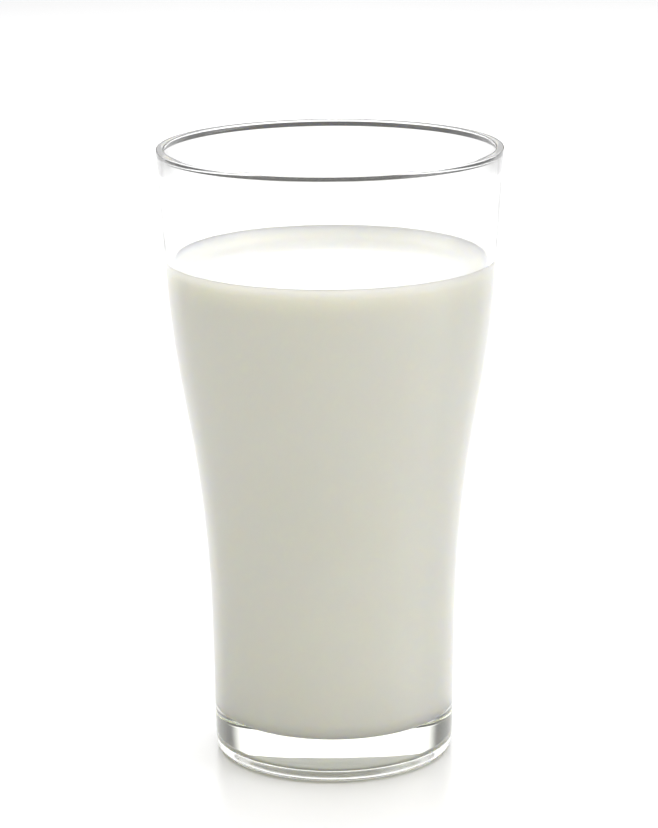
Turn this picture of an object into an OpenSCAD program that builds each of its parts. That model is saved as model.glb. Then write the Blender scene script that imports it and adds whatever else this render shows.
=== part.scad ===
// Glass of milk: a tall clear tumbler whose wall rises almost straight from a thick foot,
// flares at mid height and eases towards the rim, filled with milk to a few fingers below it.
// Millimetres, +Z up. The origin is the centre of the flat ring that the tumbler stands on.

/* [Tumbler] */
// Overall height of the tumbler
height = 152.5; // [146:0.5:158]
// Outer diameter at the rim
rim_d = 84; // [82:0.5:88]
// Outer diameter of the straight lower wall, carried down to the table
foot_d = 59.4; // [56:0.2:62]
// Draft of the lower wall, in degrees from vertical
draft_deg = 1.2; // [0.5:0.1:2]
// Steepest lean of the flare, in degrees from vertical
flare_deg = 10; // [8:0.1:11]

/* [Flare] */
// Height at which the wall starts to lean outwards
flare_start = 36; // [30:1:44]
// Height at which it leans fully
flare_full = 85; // [78:1:88]
// Height at which it starts to straighten again
ease_start = 92; // [89:1:96]
// Height above which the upper wall is straight
ease_end = 124; // [116:1:130]

/* [Wall and foot] */
// Wall thickness just below the thickened rim
wall_rim = 1.4; // [1.2:0.1:1.8]
// Wall thickness just above the inside floor
wall_low = 2.9; // [2.4:0.1:3.6]
// Thickness of the solid glass under the drink
floor_t = 10.2; // [8:0.1:12]
// Radius of the rounding between the inside wall and floor
bowl_round = 5; // [3:0.5:7]
// Radius of the rounding at the foot's outer edge
foot_round = 2.3; // [1.5:0.1:3]
// Width of the flat ring that the tumbler stands on
ring_w = 3.6; // [3:0.1:5]
// Depth of the hollow under the foot
punt_depth = 2.2; // [1:0.1:3]
// Width of the slope from the hollow's roof down to the standing ring
punt_edge = 0.8; // [0.4:0.1:1.5]

/* [Rim] */
// Thickness that the rim gains on its inside
rim_swell = 0.5; // [0.3:0.1:0.8]
// Height over which it thickens
swell_h = 1.7; // [1.4:0.1:3]
// Radius of the rounding along both of its edges
rim_round = 0.35; // [0.2:0.05:0.5]

/* [Knurled ring] */
// Number of small dimples pressed into the standing ring
dimples = 84; // [36:6:96]
// Diameter of one dimple at the ring's face
dimple_d = 1.2; // [0.8:0.1:1.4]
// Depth of one dimple
dimple_depth = 0.25; // [0.15:0.05:0.3]

/* [Milk] */
// Level of the flat part of the milk's surface
milk_level = 122.2; // [60:0.1:130]
// Length that sets how far the milk creeps up the wall
capillary_len = 2.3; // [2:0.1:2.4]

/* [Hidden] */
$fn = 96;

// Distance between the points of a long curve
wall_step = 4;
// Distance between the points of the thickening rim and of the milk's creep up the wall
fine_step = 0.25;
// Distance in radius between the points of a flat dome
dome_step = 2;
// Degrees between the points of a rounding
arc_step = 11.25;
// How slowly the rim's thickening sets in
swell_power = 1.2;
// Share of its depth that the hollow's roof loses from the axis out to the ring
punt_sag = 0.1;

draft = tan(draft_deg);
flare = tan(flare_deg);
foot_r = foot_d / 2;
rim_r = rim_d / 2;
ring_out = foot_r - foot_round;
ring_in = ring_out - ring_w;
creep_top = sqrt(2) * capillary_len;
rim_z = height - rim_round;
swell_z = height - swell_h;

// Integral over height of a slope that rises evenly from 0 at height a to 1 at height b
function eased(z, a, b) =
    let (t = min(max(z - a, 0), b - a))
    t * t / (2 * (b - a)) + max(z - b, 0);

// The upper wall's slope follows from the rim's diameter
rim_slope = flare - (foot_r + draft * rim_z
    + (flare - draft) * eased(rim_z, flare_start, flare_full) - rim_r)
    / eased(rim_z, ease_start, ease_end);

function outer_r(z) = foot_r + draft * z
    + (flare - draft) * eased(z, flare_start, flare_full)
    - (flare - rim_slope) * eased(z, ease_start, ease_end);

function wall_t(z) = wall_low
    + (wall_rim - wall_low) * (z - floor_t) / (rim_z - floor_t)
    + rim_swell * pow(max(z - swell_z, 0) / (rim_z - swell_z), swell_power);

function inner_r(z) = outer_r(z) - wall_t(z);

// Heights from a to b, both included, in even steps near the given one
function steps(a, b, step) =
    let (n = max(1, round(abs(b - a) / step)))
    [for (i = [0 : n]) a + (b - a) * i / n];

// Points on an arc about [r, z], from angle a to angle b
function arc(r, z, radius, a, b) =
    [for (t = steps(a, b, arc_step)) [r + radius * cos(t), z + radius * sin(t)]];

// The inside, from the middle of the floor up the wall to height top
bowl_r = inner_r(floor_t + bowl_round) - bowl_round;
function bowl(top) = concat(
    [[0, floor_t]],
    arc(bowl_r, floor_t + bowl_round, bowl_round, -90, 0),
    [for (z = steps(floor_t + bowl_round + wall_step, top, wall_step)) [inner_r(z), z]]
);

// Distance from the wall at which the creeping milk stands h above its level
function acosh(x) = ln(x + sqrt(x * x - 1));
function creep(h) =
    let (u = h / capillary_len, top = sqrt(2))
    capillary_len * (acosh(2 / u) - acosh(2 / top) + sqrt(4 - top * top) - sqrt(4 - u * u));

// The surface, from the wall inwards and down to the flat level
milk_top = milk_level + creep_top;
surface = [for (h = steps(creep_top - fine_step, fine_step, fine_step))
    [inner_r(milk_top) - creep(h), milk_level + h]];

// Underside: from the axis out under the hollow's roof and down its edge to the standing ring
function punt_z(r) = punt_depth * (1 - punt_sag * pow(r / ring_in, 2));
underside = concat(
    [for (r = steps(0, ring_in - punt_edge, dome_step)) [r, punt_z(r)]],
    [[ring_in, 0]],
    arc(ring_out, foot_round, foot_round, -90, 0)
);

outside = [for (z = steps(foot_round + wall_step, rim_z, wall_step)) [outer_r(z), z]];
lip = concat(
    arc(rim_r - rim_round, rim_z, rim_round, arc_step, 90),
    arc(inner_r(rim_z) + rim_round, rim_z, rim_round, 90, 180 - arc_step)
);
swell = [for (z = steps(rim_z, swell_z + fine_step, fine_step)) [inner_r(z), z]];

function reverse(list) = [for (i = [len(list) - 1 : -1 : 0]) list[i]];

module turned_glass() {
    rotate_extrude()
        polygon(concat(underside, outside, lip, swell, reverse(bowl(swell_z))));
}

// A ring of shallow round dimples in the standing ring
module knurl() {
    ball_r = (pow(dimple_d / 2, 2) + pow(dimple_depth, 2)) / (2 * dimple_depth);
    for (i = [0 : dimples - 1])
        rotate([0, 0, i * 360 / dimples])
            translate([(ring_in + ring_out) / 2, 0, dimple_depth - ball_r])
                sphere(r = ball_r);
}

module tumbler() {
    color([0.93, 0.95, 0.94, 0.35])
        difference() {
            turned_glass();
            knurl();
        }
}

module milk() {
    color([0.95, 0.94, 0.9])
        rotate_extrude()
            polygon(concat(bowl(milk_top), surface, [[0, milk_level]]));
}

tumbler();
milk();
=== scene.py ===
"""A tall clear tumbler of milk on a plain pale floor, in soft studio light.

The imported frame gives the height, the widths, the solid foot's thickness and the height that the
milk reaches. The named values below are the rest of the shape, in metres, as the CAD part has them.
"""

import math

import bmesh
import bpy
from mathutils import Matrix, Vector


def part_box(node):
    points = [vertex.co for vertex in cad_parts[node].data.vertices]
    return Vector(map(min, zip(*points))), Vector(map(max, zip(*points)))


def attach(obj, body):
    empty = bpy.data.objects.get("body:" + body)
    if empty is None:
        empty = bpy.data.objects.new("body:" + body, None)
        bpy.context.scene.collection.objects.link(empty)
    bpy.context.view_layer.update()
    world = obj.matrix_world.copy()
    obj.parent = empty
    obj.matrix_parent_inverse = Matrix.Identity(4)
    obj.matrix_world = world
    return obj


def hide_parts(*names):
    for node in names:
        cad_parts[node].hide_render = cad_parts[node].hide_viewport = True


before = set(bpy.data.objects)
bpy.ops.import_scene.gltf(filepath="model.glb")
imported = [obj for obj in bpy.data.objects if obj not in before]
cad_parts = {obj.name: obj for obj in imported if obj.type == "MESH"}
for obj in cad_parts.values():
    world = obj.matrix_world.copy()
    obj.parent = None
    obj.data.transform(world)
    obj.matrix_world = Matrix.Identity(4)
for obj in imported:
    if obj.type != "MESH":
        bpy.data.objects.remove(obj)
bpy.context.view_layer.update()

MM = 0.001

# The tumbler's outer wall
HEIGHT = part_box("tumbler")[1].z
RIM_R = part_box("tumbler")[1].x
FOOT_R = 29.7 * MM
DRAFT = math.tan(math.radians(1.2))
FLARE = math.tan(math.radians(10))
FLARE_START = 36 * MM
FLARE_FULL = 85 * MM
EASE_START = 92 * MM
EASE_END = 124 * MM

# Its thickness, foot and rim
WALL_RIM = 1.4 * MM
WALL_LOW = 2.9 * MM
RIM_SWELL = 0.5 * MM
SWELL_H = 1.7 * MM
SWELL_POWER = 1.2
RIM_ROUND = 0.35 * MM
FLOOR_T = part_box("milk")[0].z
BOWL_ROUND = 5 * MM
FOOT_ROUND = 2.3 * MM
RING_W = 3.6 * MM
PUNT_DEPTH = 2.2 * MM
PUNT_EDGE = 0.8 * MM
PUNT_SAG = 0.1
DIMPLES = 84
DIMPLE_R = 0.6 * MM
DIMPLE_DEPTH = 0.25 * MM

# The milk's surface
MILK_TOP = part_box("milk")[1].z
CAPILLARY = 2.3 * MM
MILK_BITE = 0.15 * MM

# How finely the pieces are turned
TURN_STEPS = 672
MILK_STEPS = 288
CLIMB_STEPS = 24

# The materials
GLASS_IOR = 1.5
GLASS_TINT = (0.88, 0.92, 0.7, 1)
GLASS_DENSITY = 6
WAVE_SCALE = 70
WAVE_STRENGTH = 0.5
WAVE_DEPTH = 0.06 * MM
MILK_IOR = 1.35
MILK_DULL = (0.93, 0.92, 0.84, 1)
MILK_BRIGHT = (0.95, 0.94, 0.87, 1)
MILK_ROUGHNESS = (0.1, 0.16)
MILK_SCALE = 40
MILK_GLOW_DEPTH = 2.5 * MM
MILK_GLOW_COLORS = (1, 0.9, 0.6)
PALE = (0.95, 0.95, 0.95, 1)
FLOOR_ROUGHNESS = (0.1, 0.14)
FLOOR_SCALE = 3
FLOOR_SIZE = 6

# The room's brightness: a dark low horizon all round, a bright strip behind the glass, dimmer
# sides, a warm fill in front, a patch to the right, and the glow overhead
HORIZON = 0.12
BACK_STRIP = 1.45
SIDE_LOW = 0.2
SIDE_HIGH = 0.8
FRONT_LOW = 1.75
FRONT_HIGH = 0.35
PATCH_GLOW = 3.2
PATCH_AZIMUTH = math.radians(74)
TOP_GLOW = 1.95
WARM = (1, 0.98, 0.8)
COOL = (1, 1, 1.04)

RIM_Z = HEIGHT - RIM_ROUND
SWELL_Z = HEIGHT - SWELL_H
RING_OUT = FOOT_R - FOOT_ROUND
RING_IN = RING_OUT - RING_W
MILK_LEVEL = MILK_TOP - math.sqrt(2) * CAPILLARY


def eased(z, start, end):
    """Integral over height of a slope that rises evenly from 0 at start to 1 at end."""
    t = min(max(z - start, 0), end - start)
    return t * t / (2 * (end - start)) + max(z - end, 0)


RIM_SLOPE = FLARE - (
    FOOT_R + DRAFT * RIM_Z
    + (FLARE - DRAFT) * eased(RIM_Z, FLARE_START, FLARE_FULL)
    - RIM_R
) / eased(RIM_Z, EASE_START, EASE_END)


def outer_r(z):
    flared = (FLARE - DRAFT) * eased(z, FLARE_START, FLARE_FULL)
    return FOOT_R + DRAFT * z + flared - (FLARE - RIM_SLOPE) * eased(z, EASE_START, EASE_END)


def wall_t(z):
    tapered = WALL_LOW + (WALL_RIM - WALL_LOW) * (z - FLOOR_T) / (RIM_Z - FLOOR_T)
    return tapered + RIM_SWELL * (max(z - SWELL_Z, 0) / (RIM_Z - SWELL_Z)) ** SWELL_POWER


def inner_r(z):
    return outer_r(z) - wall_t(z)


def steps(a, b, count):
    """From a to b, both included, cut into count equal parts."""
    return [a + (b - a) * i / count for i in range(count + 1)]


def arc(r, z, radius, start, end, count):
    """Points on an arc about (r, z), between two angles in degrees."""
    angles = [math.radians(t) for t in steps(start, end, count)]
    return [(r + radius * math.cos(t), z + radius * math.sin(t)) for t in angles]


def creep(h):
    """Distance from the wall at which the milk stands h above its level."""
    u = h / CAPILLARY
    top = math.sqrt(2)
    return CAPILLARY * (
        math.acosh(2 / u) - math.acosh(2 / top) + math.sqrt(4 - top * top) - math.sqrt(4 - u * u)
    )


def punt_z(r):
    """Height of the hollow's roof under the foot."""
    return PUNT_DEPTH * (1 - PUNT_SAG * (r / RING_IN) ** 2)


def underside_profile():
    """From the axis out under the hollow's roof, down its edge and across the standing ring."""
    edge_r = RING_IN - PUNT_EDGE
    roof = [(r, punt_z(r)) for r in steps(0, edge_r, 8)]
    edge = []
    for r in steps(edge_r, RING_IN, 8)[1:]:
        fall = (1 - math.cos(math.pi * (r - edge_r) / PUNT_EDGE)) / 2
        edge.append((r, punt_z(edge_r) * (1 - fall)))
    ring = [(r, 0) for r in steps(RING_IN, RING_OUT, 16)[1:]]
    return roof + edge + ring


def outside_profile():
    """From the foot's outer edge up the wall, over the lip and down the thickened rim's inside."""
    foot = arc(RING_OUT, FOOT_ROUND, FOOT_ROUND, -90, 0, 10)[1:]
    wall = [(outer_r(z), z) for z in steps(FOOT_ROUND, RIM_Z, 34)[1:]]
    lip = arc(RIM_R - RIM_ROUND, RIM_Z, RIM_ROUND, 0, 90, 6)[1:]
    lip += arc(inner_r(RIM_Z) + RIM_ROUND, RIM_Z, RIM_ROUND, 90, 180, 6)[:-1]
    swell = [(inner_r(z), z) for z in steps(RIM_Z, SWELL_Z, 10)[:-1]]
    return foot + wall + lip + swell


def inside_profile(top, count, bite=0):
    """From the height top down the inner wall, round its corner and in to the axis."""
    corner_z = FLOOR_T + BOWL_ROUND
    bowl_r = inner_r(corner_z) - BOWL_ROUND
    wall = [(inner_r(z) + bite, z) for z in steps(top, corner_z, count)]
    corner = arc(bowl_r, corner_z, BOWL_ROUND + bite, 0, -90, 10)[1:]
    floor = [(r, FLOOR_T - bite) for r in steps(bowl_r, 0, 5)[1:]]
    return wall + corner + floor


def turned_piece(name, profile, turns, shape=None):
    """A closed mesh made by turning a profile of (r, z) that starts and ends on the axis."""
    bm = bmesh.new()
    rings = []
    for r, z in profile:
        if r < 1e-9:
            rings.append([bm.verts.new((0, 0, z))])
            continue
        ring = []
        for i in range(turns):
            a = 2 * math.pi * i / turns
            rr, zz = shape(r, z, a) if shape else (r, z)
            ring.append(bm.verts.new((rr * math.cos(a), rr * math.sin(a), zz)))
        rings.append(ring)
    for low, high in zip(rings, rings[1:]):
        for i in range(turns):
            j = (i + 1) % turns
            corners = [low[i % len(low)], low[j % len(low)], high[j % len(high)], high[i % len(high)]]
            bm.faces.new(list(dict.fromkeys(corners)))
    bmesh.ops.recalc_face_normals(bm, faces=bm.faces)
    mesh = bpy.data.meshes.new(name)
    bm.to_mesh(mesh)
    bm.free()
    mesh.shade_smooth()
    piece = bpy.data.objects.new(name, mesh)
    bpy.context.scene.collection.objects.link(piece)
    return piece


def dimpled(r, z, a):
    """Presses the small round dimples into the standing ring."""
    if z > 0 or not RING_IN < r < RING_OUT:
        return r, z
    pitch = 2 * math.pi / DIMPLES
    off = (a + pitch / 2) % pitch - pitch / 2
    across = math.hypot(r - (RING_IN + RING_OUT) / 2, r * off) / DIMPLE_R
    return r, DIMPLE_DEPTH * max(0, 1 - across * across)


def node_material(name):
    material = bpy.data.materials.new(name)
    material.use_nodes = True
    nodes = material.node_tree.nodes
    return material, nodes, material.node_tree.links, nodes["Principled BSDF"]


def soft_noise(nodes, links, scale):
    """A smooth pattern fixed to the object, with scale features in a metre."""
    place = nodes.new("ShaderNodeTexCoord")
    noise = nodes.new("ShaderNodeTexNoise")
    noise.inputs["Scale"].default_value = scale
    noise.inputs["Detail"].default_value = 2
    links.new(place.outputs["Object"], noise.inputs["Vector"])
    return noise.outputs["Fac"]


def between(nodes, links, factor, limits, target):
    """Drives a plain value between two limits as the factor goes from 0 to 1."""
    low, high = limits
    spread = nodes.new("ShaderNodeMapRange")
    spread.inputs["To Min"].default_value = low
    spread.inputs["To Max"].default_value = high
    links.new(factor, spread.inputs["Value"])
    links.new(spread.outputs["Result"], target)


def glass_material():
    """Clear, with a slight tint through its thickness and faint waves in its faces."""
    material, nodes, links, shader = node_material("clear_glass")
    shader.inputs["Base Color"].default_value = (1, 1, 1, 1)
    shader.inputs["Transmission Weight"].default_value = 1
    shader.inputs["IOR"].default_value = GLASS_IOR
    shader.inputs["Roughness"].default_value = 0
    absorb = nodes.new("ShaderNodeVolumeAbsorption")
    absorb.inputs["Color"].default_value = GLASS_TINT
    absorb.inputs["Density"].default_value = GLASS_DENSITY
    links.new(absorb.outputs["Volume"], nodes["Material Output"].inputs["Volume"])
    waves = nodes.new("ShaderNodeBump")
    waves.inputs["Strength"].default_value = WAVE_STRENGTH
    waves.inputs["Distance"].default_value = WAVE_DEPTH
    links.new(soft_noise(nodes, links, WAVE_SCALE), waves.inputs["Height"])
    links.new(waves.outputs["Normal"], shader.inputs["Normal"])
    return material


def milk_material():
    """Light enters a little way; the cream and the gloss vary slightly over the surface."""
    material, nodes, links, shader = node_material("milk")
    cream = nodes.new("ShaderNodeValToRGB")
    cream.color_ramp.elements[0].color = MILK_DULL
    cream.color_ramp.elements[1].color = MILK_BRIGHT
    cloud = soft_noise(nodes, links, MILK_SCALE)
    links.new(cloud, cream.inputs["Fac"])
    links.new(cream.outputs["Color"], shader.inputs["Base Color"])
    shader.inputs["Subsurface Weight"].default_value = 1
    shader.inputs["Subsurface Radius"].default_value = MILK_GLOW_COLORS
    shader.inputs["Subsurface Scale"].default_value = MILK_GLOW_DEPTH
    between(nodes, links, cloud, MILK_ROUGHNESS, shader.inputs["Roughness"])
    shader.inputs["IOR"].default_value = MILK_IOR
    return material


def make_tumbler():
    profile = underside_profile() + outside_profile() + inside_profile(SWELL_Z, 22)
    piece = turned_piece("tumbler_glass", profile, TURN_STEPS, dimpled)
    piece.data.materials.append(glass_material())
    return piece


def make_milk():
    climb = math.sqrt(2) * CAPILLARY
    surface = [(0, MILK_LEVEL)]
    heights = [climb * (i / CLIMB_STEPS) ** 2 for i in range(1, CLIMB_STEPS + 1)]
    surface += [(inner_r(MILK_TOP) - creep(h), MILK_LEVEL + h) for h in heights]
    profile = surface + inside_profile(MILK_TOP, 40, MILK_BITE)
    piece = turned_piece("milk_drink", profile, MILK_STEPS)
    piece.data.materials.append(milk_material())
    return piece


def make_camera():
    """Stands in front of the glass at eye height over a table, looking a little down."""
    distance = 0.7555
    eye_height = 0.2782
    aside = -0.0007
    pitch_down = math.radians(14.29)
    roll = math.radians(-0.44)
    data = bpy.data.cameras.new("camera")
    data.lens = 137.5
    camera = bpy.data.objects.new("camera", data)
    camera.matrix_world = (
        Matrix.Translation((aside, -distance, eye_height))
        @ Matrix.Rotation(math.radians(90) - pitch_down, 4, "X")
        @ Matrix.Rotation(roll, 4, "Z")
    )
    bpy.context.scene.collection.objects.link(camera)
    bpy.context.scene.camera = camera


def make_floor():
    bm = bmesh.new()
    bmesh.ops.create_grid(bm, x_segments=8, y_segments=8, size=FLOOR_SIZE / 2)
    mesh = bpy.data.meshes.new("floor")
    bm.to_mesh(mesh)
    bm.free()
    floor = bpy.data.objects.new("floor", mesh)
    bpy.context.scene.collection.objects.link(floor)
    material, nodes, links, shader = node_material("pale_floor")
    shader.inputs["Base Color"].default_value = PALE
    polish = soft_noise(nodes, links, FLOOR_SCALE)
    between(nodes, links, polish, FLOOR_ROUGHNESS, shader.inputs["Roughness"])
    mesh.materials.append(material)


def make_lights():
    """The soft light of a studio, as a world whose brightness depends on the direction."""
    world = bpy.data.worlds.new("studio")
    world.use_nodes = True
    nodes = world.node_tree.nodes
    links = world.node_tree.links
    direction = nodes.new("ShaderNodeTexCoord").outputs["Generated"]
    split = nodes.new("ShaderNodeSeparateXYZ")
    links.new(direction, split.inputs["Vector"])

    def math_node(operation, first, second):
        node = nodes.new("ShaderNodeMath")
        node.operation = operation
        for socket, value in zip(node.inputs, (first, second)):
            if isinstance(value, (int, float)):
                socket.default_value = value
            else:
                links.new(value, socket)
        return node.outputs["Value"]

    def ramp(stops, tint=(1, 1, 1)):
        """Brightness by elevation, from stops of (degrees, brightness); the top is cool."""
        node = nodes.new("ShaderNodeValToRGB")
        links.new(split.outputs["Z"], node.inputs["Fac"])
        elements = node.color_ramp.elements
        while len(elements) < len(stops):
            elements.new(0.5)
        for element, (degrees, value) in zip(elements, stops):
            element.position = math.sin(math.radians(degrees))
            color = COOL if value == TOP_GLOW else tint
            element.color = tuple(value * part for part in color) + (1,)
        return node.outputs["Color"]

    def mix(factor, low, high):
        node = nodes.new("ShaderNodeMix")
        node.data_type = "RGBA"
        links.new(factor, node.inputs["Factor"])
        links.new(low, node.inputs["A"])
        links.new(high, node.inputs["B"])
        return node.outputs["Result"]

    def wedge(cosine, start, end):
        """1 where the azimuth from a direction is under start degrees, 0 past end."""
        node = nodes.new("ShaderNodeMapRange")
        node.interpolation_type = "SMOOTHSTEP"
        node.inputs["From Min"].default_value = math.cos(math.radians(end))
        node.inputs["From Max"].default_value = math.cos(math.radians(start))
        links.new(cosine, node.inputs["Value"])
        return node.outputs["Result"]

    up_squared = math_node("MULTIPLY", split.outputs["Z"], split.outputs["Z"])
    flat = math_node("SQRT", math_node("SUBTRACT", 1, up_squared), 0)
    toward_back = math_node("DIVIDE", split.outputs["Y"], flat)
    toward_front = math_node("MULTIPLY", toward_back, -1)
    toward_right = math_node("DIVIDE", split.outputs["X"], flat)
    patch_right = math_node("MULTIPLY", toward_right, math.sin(PATCH_AZIMUTH))
    patch_front = math_node("MULTIPLY", toward_front, math.cos(PATCH_AZIMUTH))
    toward_patch = math_node("ADD", patch_right, patch_front)
    back = ramp([(7, HORIZON), (8, BACK_STRIP), (27, BACK_STRIP), (42, TOP_GLOW)])
    side = ramp([(10, HORIZON), (24, SIDE_LOW), (35, SIDE_HIGH), (50, TOP_GLOW)])
    front = ramp([(7, HORIZON), (9, FRONT_LOW), (19, FRONT_LOW), (32, FRONT_HIGH),
                  (52, FRONT_HIGH), (64, TOP_GLOW)], WARM)
    patch = ramp([(7, HORIZON), (9, PATCH_GLOW), (25, PATCH_GLOW), (55, TOP_GLOW)])
    room = mix(wedge(toward_back, 38, 52), side, back)
    room = mix(wedge(toward_front, 60, 90), room, front)
    room = mix(wedge(toward_patch, 4, 26), room, patch)
    plain_white = ramp([(0, 1), (90, 1)])
    room = mix(nodes.new("ShaderNodeLightPath").outputs["Is Camera Ray"], room, plain_white)
    links.new(room, nodes["Background"].inputs["Color"])
    bpy.context.scene.world = world


make_camera()
tumbler = make_tumbler()
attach(tumbler, "root")
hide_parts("tumbler")
milk = make_milk()
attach(milk, "root")
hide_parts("milk")
make_floor()
make_lights()
scene = bpy.context.scene
scene.view_settings.view_transform = "Standard"
scene.cycles.max_bounces = 16
scene.cycles.transmission_bounces = 16
scene.cycles.glossy_bounces = 8
